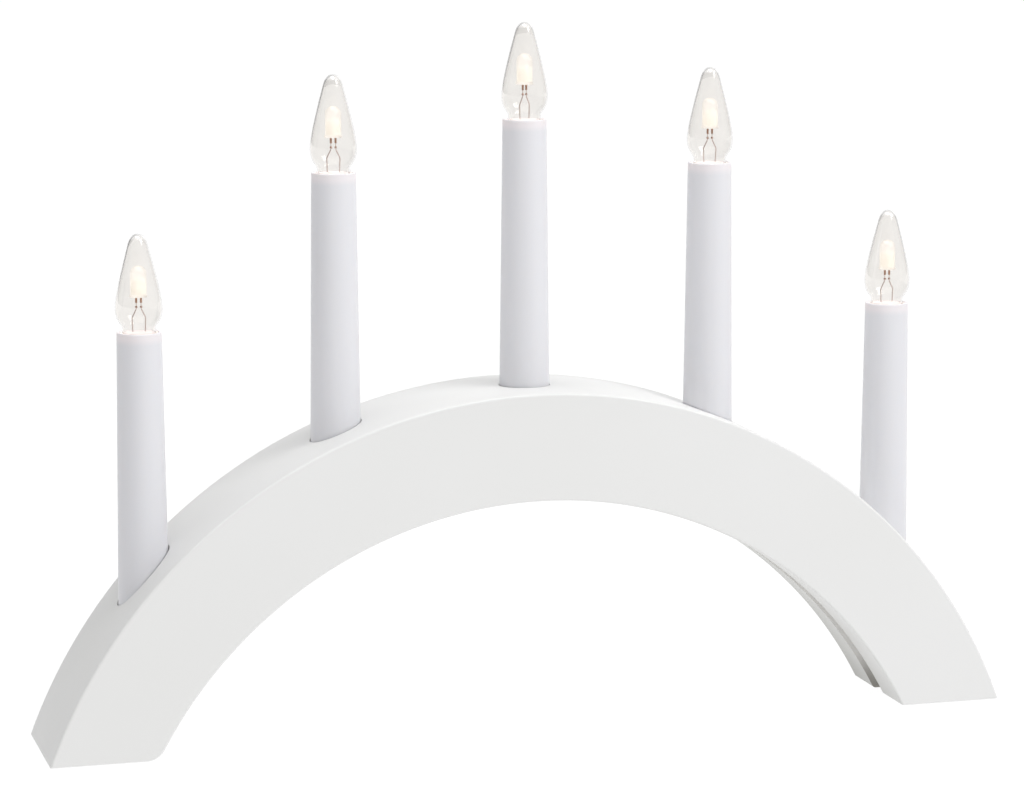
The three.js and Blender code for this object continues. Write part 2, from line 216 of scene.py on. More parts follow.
def softened(corners):
    """An outline of (x, z, round) corners, each rounded over from that far along both of its sides."""
    made = []
    for i, (x, z, *rest) in enumerate(corners):
        point = Vector((x, z))
        if not rest:
            made.append((x, z))
            continue
        before = Vector(corners[i - 1][:2])
        after = Vector(corners[(i + 1) % len(corners)][:2])
        start = point + (before - point).normalized() * rest[0]
        end = point + (after - point).normalized() * rest[0]
        for step in range(ROUND_STEPS + 1):
            t = step / ROUND_STEPS
            made.append(tuple(start.lerp(point, t).lerp(point.lerp(end, t), t)))
    return made


def lathe(profile, sides, closed=False):
    """Turns (radius, height) points about the vertical axis.

    A third value is half of how far a thread stands out there, or in where it is negative.
    """
    made = bmesh.new()
    rings = []
    for radius, height, *wave in profile:
        swing = wave[0] if wave else 0
        ring = []
        for i in range(sides if radius > 0 else 1):
            angle = 2 * math.pi * i / sides
            phase = 2 * math.pi * (height - THREAD_START) / THREAD_PITCH - angle
            reach = radius + swing + abs(swing) * math.cos(phase)
            ring.append(made.verts.new((reach * math.cos(angle), reach * math.sin(angle), height)))
        rings.append(ring)
    following = rings[1:] + rings[:1] if closed else rings[1:]
    for low, high in zip(rings, following):
        for i in range(sides):
            j = (i + 1) % sides
            corners = [low[i % len(low)], low[j % len(low)], high[j % len(high)], high[i % len(high)]]
            corners = list(dict.fromkeys(corners))
            if len(corners) > 2:
                made.faces.new(corners)
    bmesh.ops.recalc_face_normals(made, faces=made.faces)
    return made


def extrude(outline, near, far):
    """Extrudes an outline of (x, z) points along y."""
    made = bmesh.new()
    front = [made.verts.new((x, near, z)) for x, z in outline]
    back = [made.verts.new((x, far, z)) for x, z in outline]
    made.faces.new(front)
    made.faces.new(back)
    for i, corner in enumerate(front):
        made.faces.new((front[i - 1], corner, back[i], back[i - 1]))
    bmesh.ops.recalc_face_normals(made, faces=made.faces)
    return made


def upright(outline, low, high):
    """Extrudes an outline of (x, y) points upwards."""
    made = extrude(outline, low, high)
    for vertex in made.verts:
        x, y, z = vertex.co
        vertex.co = (x, z, y)
    bmesh.ops.recalc_face_normals(made, faces=made.faces)
    return made


def sweep(path, radii, sides):
    """A round tube along a path of points, with a radius at each."""
    made = bmesh.new()
    points = [Vector(point) for point in path]
    across = Vector((0, 1, 0))
    rings = []
    for i, point in enumerate(points):
        along = (points[min(i + 1, len(points) - 1)] - points[max(i - 1, 0)]).normalized()
        across = (across - across.dot(along) * along).normalized()
        beside = along.cross(across)
        ring = []
        for k in range(sides):
            angle = 2 * math.pi * k / sides
            offset = across * math.cos(angle) + beside * math.sin(angle)
            ring.append(made.verts.new(point + offset * radii[i]))
        rings.append(ring)
    for low, high in zip(rings, rings[1:]):
        for k in range(sides):
            j = (k + 1) % sides
            made.faces.new((low[k], low[j], high[j], high[k]))
    made.faces.new(rings[0])
    made.faces.new(rings[-1])
    bmesh.ops.recalc_face_normals(made, faces=made.faces)
    return made


def link(name, shape):
    mesh = bpy.data.meshes.new(name)
    shape.to_mesh(mesh)
    shape.free()
    made = bpy.data.objects.new(name, mesh)
    bpy.context.scene.collection.objects.link(made)
    return made


def carve(shape, tools, operation="DIFFERENCE"):
    """Cuts the tools out of a shape, or joins them to it."""
    body = link("body", shape)
    helpers = [link("tool", tool) for tool in tools]
    for helper in helpers:
        step = body.modifiers.new("step", "BOOLEAN")
        step.operation = operation
        step.solver = "EXACT"
        step.object = helper
    bpy.context.view_layer.update()
    evaluated = body.evaluated_get(bpy.context.evaluated_depsgraph_get())
    made = bmesh.new()
    made.from_mesh(evaluated.to_mesh())
    evaluated.to_mesh_clear()
    for used in [body, *helpers]:
        mesh = used.data
        bpy.data.objects.remove(used)
        bpy.data.meshes.remove(mesh)
    bmesh.ops.remove_doubles(made, verts=made.verts, dist=WELD_DISTANCE)
    return made


def piece(name, shape, finish, body, slot, *nodes):
    """A finished piece that rides on a body and stands for the nodes named."""
    made = link(name, shape)
    for polygon in made.data.polygons:
        polygon.use_smooth = True
    made.data.set_sharp_from_angle(angle=math.radians(SMOOTH_ANGLE))
    made.data.materials.append(finish)
    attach(made, body)
    if nodes:
        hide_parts(*nodes)
    return made


# Materials


class Finish:
    """A shader with its constant values, to which noise and heights can be tied."""

    def __init__(self, name, sockets):
        self.material = bpy.data.materials.new(name)
        self.material.use_nodes = True
        self.nodes = self.material.node_tree.nodes
        self.links = self.material.node_tree.links
        self.shader = self.nodes["Principled BSDF"]
        for socket, value in sockets.items():
            self.shader.inputs[socket].default_value = value
        coordinates = self.nodes.new("ShaderNodeTexCoord")
        self.place = coordinates.outputs["Object"]
        self.share = coordinates.outputs["Generated"]
        self.normal = None

    def noise(self, scale, detail, stretch=(1, 1, 1)):
        mapping = self.nodes.new("ShaderNodeMapping")
        mapping.inputs["Scale"].default_value = stretch
        self.links.new(self.place, mapping.inputs["Vector"])
        made = self.nodes.new("ShaderNodeTexNoise")
        made.inputs["Scale"].default_value = scale
        made.inputs["Detail"].default_value = detail
        self.links.new(mapping.outputs["Vector"], made.inputs["Vector"])
        return made.outputs["Fac"]

    def height(self, low, high):
        """Rises from 0 to 1 between two shares of the piece's height."""
        axes = self.nodes.new("ShaderNodeSeparateXYZ")
        self.links.new(self.share, axes.inputs["Vector"])
        made = self.nodes.new("ShaderNodeMapRange")
        made.interpolation_type = "SMOOTHSTEP"
        made.inputs["From Min"].default_value = low
        made.inputs["From Max"].default_value = high
        self.links.new(axes.outputs["Z"], made.inputs["Value"])
        return made.outputs["Result"]

    def scaled(self, source, start, end, low, high):
        """Runs from low to high while the source runs from start to end."""
        made = self.nodes.new("ShaderNodeMapRange")
        made.inputs["From Min"].default_value = start
        made.inputs["From Max"].default_value = end
        made.inputs["To Min"].default_value = low
        made.inputs["To Max"].default_value = high
        self.links.new(source, made.inputs["Value"])
        return made.outputs["Result"]

    def set_roughness(self, source, low, high):
        self.put(self.scaled(source, NOISE_LOW, NOISE_HIGH, low, high), "Roughness")

    def axis(self, name):
        axes = self.nodes.new("ShaderNodeSeparateXYZ")
        self.links.new(self.place, axes.inputs["Vector"])
        return axes.outputs[name]

    def distance_from(self, circle):
        """How far a point of the bow is from the centre of one of its circles, seen from the front."""
        drop = self.math("SUBTRACT", self.axis("Z"), circle[1])
        across = self.axis("X")
        square = self.math("ADD", self.math("MULTIPLY", drop, drop), self.math("MULTIPLY", across, across))
        return self.math("SQRT", square)

    def groove(self):
        """1 inside the groove along the underside of the bow, 0 elsewhere."""
        narrow = self.math("LESS_THAN", self.math("ABSOLUTE", self.axis("Y")), groove_half + GROOVE_MARGIN)
        low = self.math("LESS_THAN", self.distance_from(GROOVE), GROOVE[0] + GROOVE_MARGIN)
        return self.math("MULTIPLY", narrow, low)

    def underside(self):
        """Where painted shade falls: on the underside of the bow, more so towards the rear."""
        reach = self.scaled(self.distance_from(INNER), INNER[0] + UNDERSIDE_SHADE_EDGE, INNER[0], 0, 1)
        rearward = self.scaled(self.axis("Y"), front_y, rear_y, SHADE_AT_FRONT, 1)
        return self.math("MULTIPLY", reach, rearward)

    def math(self, operation, *values):
        made = self.nodes.new("ShaderNodeMath")
        made.operation = operation
        for socket, value in zip(made.inputs, values):
            if isinstance(value, (int, float)):
                socket.default_value = value
            else:
                self.links.new(value, socket)
        return made.outputs["Value"]

    def mix_colour(self, share, first, second):
        made = self.nodes.new("ShaderNodeMix")
        made.data_type = "RGBA"
        self.links.new(share, made.inputs["Factor"])
        self.links.new(first, made.inputs["A"])
        self.links.new(second, made.inputs["B"])
        return made.outputs["Result"]

    def ramp(self, source, dark, light):
        ramp = self.nodes.new("ShaderNodeValToRGB")
        ramp.color_ramp.elements[0].color = (*dark, 1)
        ramp.color_ramp.elements[0].position = NOISE_LOW
        ramp.color_ramp.elements[1].color = (*light, 1)
        ramp.color_ramp.elements[1].position = NOISE_HIGH
        self.links.new(source, ramp.inputs["Fac"])
        return ramp.outputs["Color"]

    def put(self, value, socket):
        self.links.new(value, self.shader.inputs[socket])

    def set_colour(self, source, dark, light):
        self.put(self.ramp(source, dark, light), "Base Color")

    def set_glow(self, source, dark, light):
        self.shader.inputs["Emission Strength"].default_value = 1.0
        self.put(self.ramp(source, dark, light), "Emission Color")

    def add_bump(self, source, height):
        made = self.nodes.new("ShaderNodeBump")
        made.inputs["Strength"].default_value = 1.0
        made.inputs["Distance"].default_value = height
        self.links.new(source, made.inputs["Height"])
        if self.normal:
            self.links.new(self.normal, made.inputs["Normal"])
        self.normal = made.outputs["Normal"]
        self.put(self.normal, "Normal")


def painted_wood():
    """White paint with painted shade on the underside, deeper towards the rear and the feet, and painted
    shade in the groove near the feet.
    """
    made = Finish("painted_wood", {"Specular IOR Level": 0.4})
    patches = made.noise(scale=30, detail=4)
    grain = made.noise(scale=300, detail=4, stretch=(1, 0.2, 1))
    paint = made.ramp(made.noise(scale=9, detail=3), (0.845, 0.845, 0.835), (0.865, 0.865, 0.86))
    # Painted shade: the underside of the bow is darker than the rest of the paint
    underside_shade = made.ramp(patches, (0.51, 0.51, 0.49), (0.57, 0.57, 0.55))
    # Painted shade: the underside is darker still near the feet
    foot_shade = made.ramp(patches, (0.41, 0.41, 0.39), (0.46, 0.46, 0.44))
    bare = made.ramp(grain, (0.8, 0.79, 0.77), (0.85, 0.84, 0.82))
    # Painted shade: the groove is darker near the feet
    groove_foot_shade = made.ramp(grain, (0.22, 0.21, 0.19), (0.29, 0.28, 0.25))
    # Painted shade deepens towards the feet
    strip_shade = made.mix_colour(made.height(low=0, high=0.12), foot_shade, underside_shade)
    groove = made.mix_colour(made.height(low=-0.015, high=0.135), groove_foot_shade, bare)
    # Painted shade on the underside, more of it towards the rear
    shaded_paint = made.mix_colour(made.underside(), paint, strip_shade)
    made.put(made.mix_colour(made.groove(), shaded_paint, groove), "Base Color")
    made.set_roughness(made.noise(scale=60, detail=3), low=0.42, high=0.54)
    made.add_bump(made.noise(scale=900, detail=2), height=0.012 * MM)
    made.add_bump(made.noise(scale=45, detail=2), height=0.04 * MM)
    return made.material


def candle_plastic():
    """White plastic with faint upright streaks, and painted light from the diode at the rim."""
    made = Finish("candle_plastic", {
        "Subsurface Weight": 0.12,
        "Subsurface Scale": 1.5 * MM,
        "Subsurface Radius": (1.0, 0.85, 0.75),
        "Specular IOR Level": 0.45,
    })
    streaks = made.noise(scale=160, detail=2, stretch=(1, 1, 0.03))
    made.set_colour(streaks, (0.78, 0.778, 0.81), (0.795, 0.793, 0.822))
    # Painted light: the rim is tinted warm as if lit by the diode
    made.set_glow(made.height(low=0.93, high=1.01), NO_GLOW, (0.075, 0.042, 0.033))
    made.set_roughness(streaks, low=0.36, high=0.44)
    made.add_bump(streaks, height=0.01 * MM)
    made.add_bump(made.noise(scale=1400, detail=2), height=0.004 * MM)
    return made.material


def clear_plastic():
    """Clear, slightly clouded plastic, with painted light that brightens the solid tip."""
    made = Finish("clear_plastic", {"Roughness": 0.0, "IOR": 1.49, "Transmission Weight": 1.0})
    made.set_colour(made.noise(scale=120, detail=2), (0.922, 0.908, 0.89), (0.942, 0.93, 0.912))
    # Painted light at the tip, which lifts its dark refractions
    made.set_glow(made.height(low=0.925, high=0.985), NO_GLOW, (0.055, 0.056, 0.058))
    made.add_bump(made.noise(scale=140, detail=1), height=0.01 * MM)
    return made.material


def diode_lens():
    made = Finish("diode_lens", {"IOR": 1.5, "Transmission Weight": 1.0})
    cloud = made.noise(scale=300, detail=2)
    made.set_colour(cloud, (0.96, 0.94, 0.91), (0.99, 0.97, 0.95))
    made.set_glow(cloud, (0.11, 0.1, 0.09), (0.13, 0.12, 0.11))
    made.set_roughness(cloud, low=0.3, high=0.4)
    return made.material


def diode_core():
    made = Finish("diode_core", {})
    cloud = made.noise(scale=500, detail=2)
    made.set_colour(cloud, (0.74, 0.72, 0.66), (0.8, 0.78, 0.72))
    made.set_glow(made.height(low=0, high=1), (0.5, 0.47, 0.42), (0.54, 0.51, 0.47))
    made.set_roughness(cloud, low=0.4, high=0.5)
    return made.material


def metal(name, roughness, stretch=(1, 1, 1)):
    """A metal that has no colour yet, and the grain in it."""
    made = Finish(name, {"Metallic": 1.0})
    grain = made.noise(scale=900, detail=3, stretch=stretch)
    made.set_roughness(grain, low=roughness, high=roughness + METAL_SPREAD)
    made.add_bump(grain, height=0.004 * MM)
    return made, grain


def sheet_metal(name, dark, light, roughness, stretch=(1, 1, 1)):
    made, grain = metal(name, roughness, stretch)
    made.set_colour(grain, dark, light)
    return made.material


def lead_metal():
    """Pale wire, and darker copper on the diode's legs and the beads."""
    made, grain = metal("lead_metal", roughness=0.3)
    wire = made.ramp(grain, (0.58, 0.46, 0.42), (0.66, 0.54, 0.5))
    leg = made.ramp(grain, (0.4, 0.22, 0.14), (0.48, 0.28, 0.19))
    made.put(made.mix_colour(made.height(low=0.81, high=0.89), wire, leg), "Base Color")
    return made.material


def plain_plastic(name, dark, light, roughness):
    made = Finish(name, {"Specular IOR Level": 0.4})
    made.set_colour(made.noise(scale=80, detail=3), dark, light)
    made.set_roughness(made.noise(scale=220, detail=2), low=roughness, high=roughness + PLASTIC_SPREAD)
    made.add_bump(made.noise(scale=1500, detail=2), height=0.006 * MM)
    return made


def bulb_base():
    """Plastic in the bulb's neck, with painted light from the diode all over it."""
    made = plain_plastic("bulb_base", (0.8, 0.79, 0.78), (0.84, 0.83, 0.82), roughness=0.5)
    # Painted light from the diode
    made.set_glow(made.noise(scale=400, detail=2), (0.17, 0.095, 0.095), (0.21, 0.125, 0.125))
    return made.material


def holder_plastic():
    """Plastic of the lamp holder, with painted light from the diode on its top."""
    made = plain_plastic("holder_plastic", (0.72, 0.71, 0.66), (0.78, 0.77, 0.72), roughness=0.45)
    # Painted light from the diode above, on the top of the holder
    made.set_glow(made.height(low=0.7, high=0.9), NO_GLOW, (0.24, 0.18, 0.17))
    return made.material


def floor_white():
    made = Finish("floor_white", {
        "Roughness": 0.9,
        "Specular IOR Level": 0.1,
        "Emission Color": (1, 1, 1, 1),
        "Emission Strength": FLOOR_GLOW,
    })
    made.set_colour(made.noise(scale=2, detail=2), (0.095, 0.095, 0.095), (0.105, 0.105, 0.105))
    return made.material


# Bow: outline between two circles through its foot corners and crown


def circle_through(half_span, height):
    radius = (half_span ** 2 + height ** 2) / (2 * height)
    return radius, height - radius


def arc(circle, start, end):
    radius, centre = circle
    angles = [lerp(start, end, i / BOW_STEPS) for i in range(BOW_STEPS + 1)]
    return [(radius * math.cos(angle), centre + radius * math.sin(angle)) for angle in angles]


def angle_at(circle, height):
    radius, centre = circle
    return math.asin((height - centre) / radius)


def height_at(circle, x):
    radius, centre = circle
    return centre + math.sqrt(radius ** 2 - x ** 2)


front_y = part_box("front_board")[0].y
rear_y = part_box("rear_board")[1].y
bow_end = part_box("front_board")[1].x
bow_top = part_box("front_board")[1].z
groove_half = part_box("core_strip")[1].y
OUTER = circle_through(bow_end, bow_top)
INNER = circle_through(bow_end - LEG_WIDTH, bow_top - CROWN_THICKNESS)
GROOVE = (INNER[0] + GROOVE_DEPTH, INNER[1])
WIRE_LINE = (GROOVE[0] - WIRE_GAP - WIRE_RADIUS, GROOVE[1])
HOLE_RADIUS = TUBE_FOOT_RADIUS + HOLE_CLEARANCE

# Heights inside a candle, measured from the rim of its tube
CAP_TOP = -NECK_DEPTH - SEAT_GAP
CAP_BOTTOM = CAP_TOP - 2 * CAP_PLAIN - THREAD_TURNS * THREAD_PITCH
THREAD_START = CAP_BOTTOM + CAP_PLAIN
CONTACT_END = CAP_BOTTOM - CONTACT_TIP
BORE_FLOOR = CONTACT_END - SEAT_GAP - TONGUE_RISE - STRIP_THICKNESS - SLIDE_GAP
FLOOR_UNDERSIDE = BORE_FLOOR - HOLDER_FLOOR
TERMINAL_END = FLOOR_UNDERSIDE - TERMINAL_REACH
TERMINAL_X = SHELL_MEAN + THREAD_SWING


class Candle:
    """Where a candle stands: its axis, the foot and the rim of its tube, and how its bulb is turned."""

    def __init__(self, place):
        low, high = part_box(f"candle_tube_{place}")
        self.place = place
        self.x = (low.x + high.x) / 2
        self.foot = low.z
        self.rim = high.z
        self.hole_floor = low.z - SEAT_GAP
        lead_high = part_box(f"bulb_cathode_lead_{place}")[1]
        self.turn = math.atan2(lead_high.y - CAD_LEAD_RADIUS, lead_high.x - self.x - CAD_LEAD_RADIUS)
        self.bulb = f"bulb_{place}"
        self.bulb_foot = f"bulb_foot_{place}"

    def add(self, kind, shape, finish, body, slot, *replaced):
        """Makes a piece of this candle from a shape that was measured from the rim."""
        bmesh.ops.translate(shape, verts=shape.verts, vec=(self.x, 0, self.rim))
        nodes = [f"{node}_{self.place}" for node in replaced]
        return piece(f"{kind}_{self.place}", shape, finish, body, slot, *nodes)


CANDLES = [Candle(place) for place in PLACES]
PAINT = painted_wood()
CANDLE = candle_plastic()
CLEAR = clear_plastic()
LENS = diode_lens()
CORE = diode_core()
LEAD = lead_metal()
NICKEL = sheet_metal("nickel", (0.62, 0.61, 0.58), (0.72, 0.71, 0.68), roughness=0.22)
BRASS = sheet_metal("brass", (0.68, 0.5, 0.22), (0.78, 0.6, 0.3), roughness=0.28, stretch=(1, 1, 0.1))
HOLDER = holder_plastic()
BASE = bulb_base()
INSULATION = plain_plastic("wire_cover", (0.76, 0.75, 0.72), (0.82, 0.81, 0.78), roughness=0.4).material


def bow_outline():
    """The bow seen from the front, with its left inner toe rounded."""
    start = angle_at(OUTER, 0)
    end = angle_at(INNER, 0)
    rise = math.pi - end - TOE_ROUND / INNER[0]
    inner_run = arc(INNER, rise, end)
    toe = (-bow_end + LEG_WIDTH, 0)
    toe_start = (toe[0] - TOE_ROUND, 0)
    turn = [toe_start]
    for i in range(1, CURVE_STEPS):
        t = i / CURVE_STEPS
        mixed = Vector(toe_start).lerp(Vector(toe), t).lerp(Vector(toe).lerp(Vector(inner_run[0]), t), t)
        turn.append(tuple(mixed))
    return arc(OUTER, start, math.pi - start) + turn + inner_run


def groove_tool():
    """Cutter for the groove, seen from the front."""
    below = -GROOVE_OVERRUN * bow_top
    roof = angle_at(GROOVE, below)
    inside = (INNER[0] - GROOVE_DEPTH / 2, INNER[1])
    under = angle_at(inside, below)
    return arc(GROOVE, roof, math.pi - roof) + arc(inside, math.pi - under, under)


def hole_tool(candle):
    """Cutter for the hole that the tube stands in."""
    low = candle.hole_floor
    high = bow_top + HOLE_RADIUS
    shape = lathe([(0, low), (HOLE_RADIUS, low), (HOLE_RADIUS, high), (0, high)], TUBE_SIDES)
    bmesh.ops.translate(shape, verts=shape.verts, vec=(candle.x, 0, 0))
    return shape


def slot_tool(candle):
    """Cutter for the slot from the hole down to the groove, which the wires pass."""
    half = TERMINAL_X + WIRE_RADIUS + SLOT_MARGIN - SLOT_WIDTH / 2
    outline = []
    for side in (1, -1):
        for i in range(CURVE_STEPS + 1):
            angle = math.pi * (i / CURVE_STEPS - 0.5)
            x = candle.x + side * (half + SLOT_WIDTH / 2 * math.cos(angle))
            outline.append((x, side * SLOT_WIDTH / 2 * math.sin(angle)))
    low = height_at(GROOVE, abs(candle.x) + HOLE_RADIUS) - SLOT_WIDTH
    return upright(outline, low, candle.hole_floor + SLOT_MARGIN)


def make_bow():
    shape = extrude(bow_outline(), front_y, rear_y)
    sharp = [edge for edge in shape.edges if edge.calc_face_angle() > math.radians(SMOOTH_ANGLE)]
    bmesh.ops.bevel(shape, geom=sharp, offset=EDGE_ROUND, offset_type="OFFSET", segments=ROUND_STEPS,
                    profile=0.5, affect="EDGES", clamp_overlap=True)
    tools = [extrude(groove_tool(), -groove_half, groove_half)]
    tools += [hole_tool(candle) for candle in CANDLES]
    tools += [slot_tool(candle) for candle in CANDLES]
    bow = piece("bow", carve(shape, tools), PAINT, "bow", "painted_wood",
                "front_board", "core_strip", "rear_board")
    even = bow.modifiers.new("even_normals", "WEIGHTED_NORMAL")
    even.keep_sharp = True


# Candle tube and lamp holder


def tube_radius(height, length):
    return lerp(TUBE_TOP_RADIUS, TUBE_FOOT_RADIUS, -height / length)


def make_tube(candle):
    length = candle.rim - candle.foot
    foot = tube_radius(-length, length)
    profile = softened([
        (foot - TUBE_WALL, -length),
        (foot, -length, RIM_ROUND),
        (TUBE_TOP_RADIUS, 0, RIM_ROUND),
        (TUBE_TOP_RADIUS - TUBE_WALL, 0, RIM_ROUND),
    ])
    shape = lathe(profile, TUBE_SIDES, closed=True)
    candle.add("tube", shape, CANDLE, "bow", "candle_plastic", "candle_tube")


def make_holder(candle):
    length = candle.rim - candle.foot
    bottom = CAP_TOP - HOLDER_LENGTH
    wide = tube_radius(bottom, length) - TUBE_WALL - SLIDE_GAP
    narrow = tube_radius(CAP_TOP, length) - TUBE_WALL - SLIDE_GAP
    skirt = wide - HOLDER_WALL
    bore = TERMINAL_X + SHEET_WALL + SLIDE_GAP
    collar = NECK_RADIUS + COLLAR_GAP
    rim = tube_radius(-COLLAR_DROP, length) - TUBE_WALL - SLIDE_GAP / 2
    shape = lathe(softened([
        (0, FLOOR_UNDERSIDE),
        (skirt, FLOOR_UNDERSIDE, RIM_ROUND),
        (skirt, bottom, RIM_ROUND / 2),
        (wide, bottom, RIM_ROUND / 2),
        (narrow, CAP_TOP),
        (rim, -COLLAR_DROP, COLLAR_GAP / 2),
        (collar, -COLLAR_DROP, COLLAR_GAP / 2),
        (collar, CAP_TOP),
        (bore, CAP_TOP, RIM_ROUND / 2),
        (bore, BORE_FLOOR),
        (0, BORE_FLOOR),
    ]), SMALL_SIDES)
    half_x = STRIP_THICKNESS / 2 + TERMINAL_CLEARANCE
    half_y = STRIP_WIDTH / 2 + TERMINAL_CLEARANCE
    slots = []
    for side in (-1, 1):
        x = side * TERMINAL_X
        outline = [(x - half_x, -half_y), (x + half_x, -half_y), (x + half_x, half_y), (x - half_x, half_y)]
        slots.append(upright(outline, FLOOR_UNDERSIDE - HOLDER_FLOOR / 2, BORE_FLOOR + HOLDER_FLOOR / 2))
    candle.add("holder", carve(shape, slots), HOLDER, "bow", "holder_plastic", "lamp_holder")


def thread_rows(radius, swing):
    """Rows of a thread that fades in at one end and out at the other."""
    count = round(THREAD_TURNS * THREAD_ROWS)
    rows = []
    for i in range(count + 1):
        turn = i / THREAD_ROWS
        fade = min(1, turn / THREAD_FADE, (THREAD_TURNS - turn) / THREAD_FADE)
        rows.append((radius, THREAD_START + turn * THREAD_PITCH, swing * fade))
    return rows


def make_shell(candle):
    top = CAP_TOP - SLIDE_GAP
    bottom = CAP_BOTTOM + SLIDE_GAP
    outside = TERMINAL_X + SHEET_WALL
    sleeve = lathe([
        (TERMINAL_X, bottom),
        (outside, bottom),
        (outside, top),
        (TERMINAL_X, top),
        *thread_rows(TERMINAL_X, -THREAD_SWING)[::-1],
    ], SMALL_SIDES, closed=True)
    tab_half = STRIP_THICKNESS / 2
    tab = extrude([
        (TERMINAL_X - tab_half, TERMINAL_END),
        (TERMINAL_X + tab_half, TERMINAL_END),
        (TERMINAL_X + tab_half, bottom + SHEET_WALL),
        (TERMINAL_X - tab_half, bottom + SHEET_WALL),
    ], -STRIP_WIDTH / 2, STRIP_WIDTH / 2)
    candle.add("shell", carve(sleeve, [tab], "UNION"), BRASS, "bow", "brass", "holder_shell")


def make_tongue(candle):
    low = BORE_FLOOR + SLIDE_GAP
    high = low + STRIP_THICKNESS
    half = STRIP_THICKNESS / 2
    reach = CONTACT_TIP_RADIUS
    bend = STRIP_THICKNESS / 2
    shape = extrude(softened([
        (-TERMINAL_X - half, TERMINAL_END),
        (-TERMINAL_X + half, TERMINAL_END),
        (-TERMINAL_X + half, low, bend / 2),
        (-reach, low, bend),
        (0, low + TONGUE_RISE, bend),
        (reach, low),
        (reach, high),
        (0, high + TONGUE_RISE, bend),
        (-reach, high, bend),
        (-TERMINAL_X - half, high, bend),
    ]), -STRIP_WIDTH / 2, STRIP_WIDTH / 2)
    candle.add("tongue", shape, BRASS, "bow", "brass", "holder_contact")


# Bulb


def flame():
    """The flame's outline from the neck to the tip."""
    shoulder_height = BULB_HEIGHT - TIP_ROUND
    rise = BELLY_HEIGHT - NECK_TOP
    run = shoulder_height - BELLY_HEIGHT
    made = [(NECK_RADIUS, NECK_TOP)]
    made += bezier([
        (NECK_RADIUS, NECK_TOP),
        (NECK_RADIUS, NECK_TOP + NECK_HANDLE * rise),
        (BELLY_RADIUS, BELLY_HEIGHT - BELLY_HANDLE * rise),
        (BELLY_RADIUS, BELLY_HEIGHT),
    ], CURVE_STEPS)
    made += bezier([
        (BELLY_RADIUS, BELLY_HEIGHT),
        (BELLY_RADIUS, BELLY_HEIGHT + LOW_HANDLE * run),
        (TIP_RADIUS + FLANK_LEAN * HIGH_HANDLE * run, shoulder_height - HIGH_HANDLE * run),
        (TIP_RADIUS, shoulder_height),
    ], CURVE_STEPS)
    made += bezier([
        (TIP_RADIUS, shoulder_height),
        (TIP_RADIUS - FLANK_LEAN * TIP_HANDLE * TIP_ROUND, shoulder_height + TIP_HANDLE * TIP_ROUND),
        (TIP_FLAT * TIP_RADIUS, BULB_HEIGHT),
        (0, BULB_HEIGHT),
    ], CURVE_STEPS)
    return made


def cavity(outline):
    """The outline set in by an even wall, and closed by a dome under the tip."""
    top = BULB_HEIGHT - TIP_WALL
    made = [(NECK_RADIUS - ENVELOPE_WALL, NECK_TOP)]
    for before, point, after in zip(outline, outline[1:], outline[2:]):
        along = (Vector(after) - Vector(before)).normalized()
        inside = (point[0] - ENVELOPE_WALL * along.y, point[1] + ENVELOPE_WALL * along.x)
        if inside[1] < top - CAVITY_DOME:
            made.append(inside)
    radius, height = made[-1]
    made += bezier([
        (radius, height),
        (radius - FLANK_LEAN * TIP_HANDLE * CAVITY_DOME, height + TIP_HANDLE * CAVITY_DOME),
        (TIP_FLAT * radius, top),
        (0, top),
    ], CURVE_STEPS)
    return made


def make_envelope(candle):
    bore = SPIGOT_RADIUS - SPIGOT_WALL
    floor_top = -NECK_DEPTH + ENVELOPE_WALL
    spigot_end = -NECK_DEPTH - SPIGOT_LENGTH
    neck_corner = softened([
        (bore, floor_top),
        (bore, spigot_end),
        (SPIGOT_RADIUS, spigot_end),
        (SPIGOT_RADIUS, -NECK_DEPTH),
        (NECK_RADIUS, -NECK_DEPTH, RIM_ROUND),
        (NECK_RADIUS, NECK_TOP),
    ])[:-1]
    outline = flame()
    profile = cavity(outline)[::-1]
    profile += [(NECK_RADIUS - ENVELOPE_WALL, floor_top)] + neck_corner + outline
    shape = lathe(profile, BULB_SIDES)
    envelope = candle.add("envelope", shape, CLEAR, candle.bulb, "clear_plastic", "bulb_envelope")
    envelope.visible_shadow = False


def make_base(candle):
    """The opaque base that fills the bulb's neck to just above the rim."""
    radius = NECK_RADIUS - ENVELOPE_WALL - BASE_GAP
    bottom = -NECK_DEPTH + ENVELOPE_WALL + BASE_GAP
    shape = lathe(softened([
        (0, bottom),
        (radius, bottom, RIM_ROUND),
        (radius, 0, RIM_ROUND),
        (0, BASE_RISE),
    ]), BULB_SIDES)
    candle.add("base", shape, BASE, candle.bulb, "holder_plastic")


def make_diode(candle):
    shoulder = DIODE_BASE + DIODE_FLANGE_HEIGHT
    flange = DIODE_RADIUS + DIODE_FLANGE
    dome_height = DIODE_BASE + DIODE_LENGTH - DIODE_RADIUS
    profile = softened([
        (0, DIODE_BASE),
        (flange, DIODE_BASE, DIODE_FLANGE / 2),
        (flange, shoulder, DIODE_FLANGE / 2),
        (DIODE_RADIUS, shoulder, DIODE_FLANGE / 2),
        (DIODE_RADIUS, dome_height),
    ])
    for i in range(1, CURVE_STEPS):
        angle = math.pi / 2 * i / CURVE_STEPS
        profile.append((DIODE_RADIUS * math.cos(angle), dome_height + DIODE_RADIUS * math.sin(angle)))
    profile.append((0, DIODE_BASE + DIODE_LENGTH))
    candle.add("diode", lathe(profile, SMALL_SIDES), LENS, candle.bulb, "diode", "bulb_diode")


def make_core(candle):
    """The lit phosphor and its cup inside the diode's lens."""
    bottom = DIODE_BASE + CORE_RISE
    top = bottom + CORE_LENGTH
    shape = lathe(softened([
        (0, bottom),
        (CORE_RADIUS, bottom, CORE_FOOT_ROUND),
        (CORE_RADIUS, top, CORE_TOP_ROUND),
        (0, top),
    ]), SMALL_SIDES)
    candle.add("core", shape, CORE, candle.bulb, "diode")


